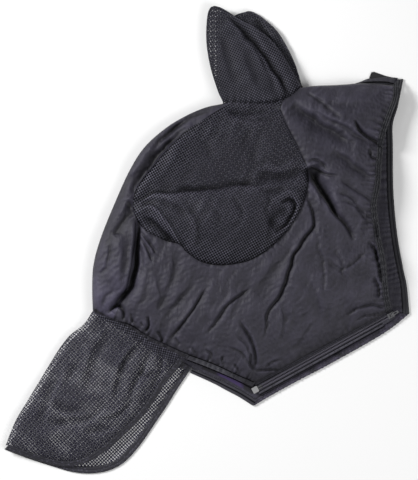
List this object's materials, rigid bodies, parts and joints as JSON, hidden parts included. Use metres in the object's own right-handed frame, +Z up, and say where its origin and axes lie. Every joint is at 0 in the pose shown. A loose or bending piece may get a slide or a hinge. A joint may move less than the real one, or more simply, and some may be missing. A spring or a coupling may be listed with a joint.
{
  "type": "fly mask",
  "caption": "Stretch fly mask for a horse with mesh eye panels, mesh ears, a mesh nose flap and a zip under the jaw, lying closed on its side.",
  "frame": {"origin": "centre of the footprint, on the floor the mask lies on", "axes": "+X from the face to the neck, +Y from the chin to the ears, +Z up from the floor, out of the left side of the mask"},
  "size_m": [0.722, 0.837, 0.0688],
  "materials": {
    "lycra": "matte stretch knit",
    "mesh": "open net, fine holes",
    "binding": "ribbed elastic",
    "purple_lining": "matte knit",
    "black_tab": "woven webbing",
    "zip_tape": "woven tape",
    "zip_teeth": "moulded",
    "metal": "bright nickel plated"
  },
  "bodies": {
    "mask": {"left_side_panel": "lycra", "right_side_panel": "lycra", "forehead_panel": "lycra", "crown_panel": "lycra", "left_eye_mesh": "mesh", "right_eye_mesh": "mesh", "left_neck_binding": "binding", "right_neck_binding": "binding", "left_chin_binding": "binding", "right_chin_binding": "binding", "chin_lining": "purple_lining", "left_nose_seam_tape": "lycra", "right_nose_seam_tape": "lycra", "poll_tab": "black_tab", "left_zip_tape": "zip_tape", "right_zip_tape": "zip_tape", "left_zip_teeth": "zip_teeth", "right_zip_teeth": "zip_teeth", "zip_retainer_box": "metal", "zip_end_pins": "metal", "zip_top_stops": "metal"},
    "nose_flap": {"left_nose_mesh": "mesh", "right_nose_mesh": "mesh", "nose_mesh_front_fold": "mesh", "left_nose_hem": "binding", "right_nose_hem": "binding"},
    "left_ear": {"left_ear_outer_mesh": "mesh", "left_ear_inner_mesh": "mesh", "left_ear_edge_seam": "binding"},
    "right_ear": {"right_ear_outer_mesh": "mesh", "right_ear_inner_mesh": "mesh", "right_ear_edge_seam": "binding"},
    "zip_slider": {"zip_slider_body": "metal"},
    "zip_pull": {"zip_pull_tab": "metal"}
  },
  "joints": [
    {"name": "nose_flap_fold", "type": "hinge", "parent": "mask", "child": "nose_flap", "pos_m": [-0.2075, -0.1285, 0.026], "axis": [-0.8891, 0.4577, 0], "range_deg": [0, 115]},
    {"name": "left_ear_lift", "type": "hinge", "parent": "mask", "child": "left_ear", "pos_m": [0.0925, 0.245, 0.034], "axis": [1, 0, 0], "range_deg": [0, 90]},
    {"name": "right_ear_lift", "type": "hinge", "parent": "mask", "child": "right_ear", "pos_m": [0.0925, 0.245, 0.0135], "axis": [1, 0, 0], "range_deg": [0, 55]},
    {"name": "zip_slide", "type": "slide", "parent": "mask", "child": "zip_slider", "axis": [-0.8761, -0.4822, 0], "range_m": [0, 0.268]},
    {"name": "zip_pull_flip", "type": "hinge", "parent": "zip_slider", "child": "zip_pull", "pos_m": [0.33206, -0.1376, 0.0106], "axis": [0.4822, -0.8761, 0], "range_deg": [0, 170]}
  ],
  "couplings": [
    {"joint": "right_ear_lift", "follows": "left_ear_lift", "ratio": 0.6}
  ]
}
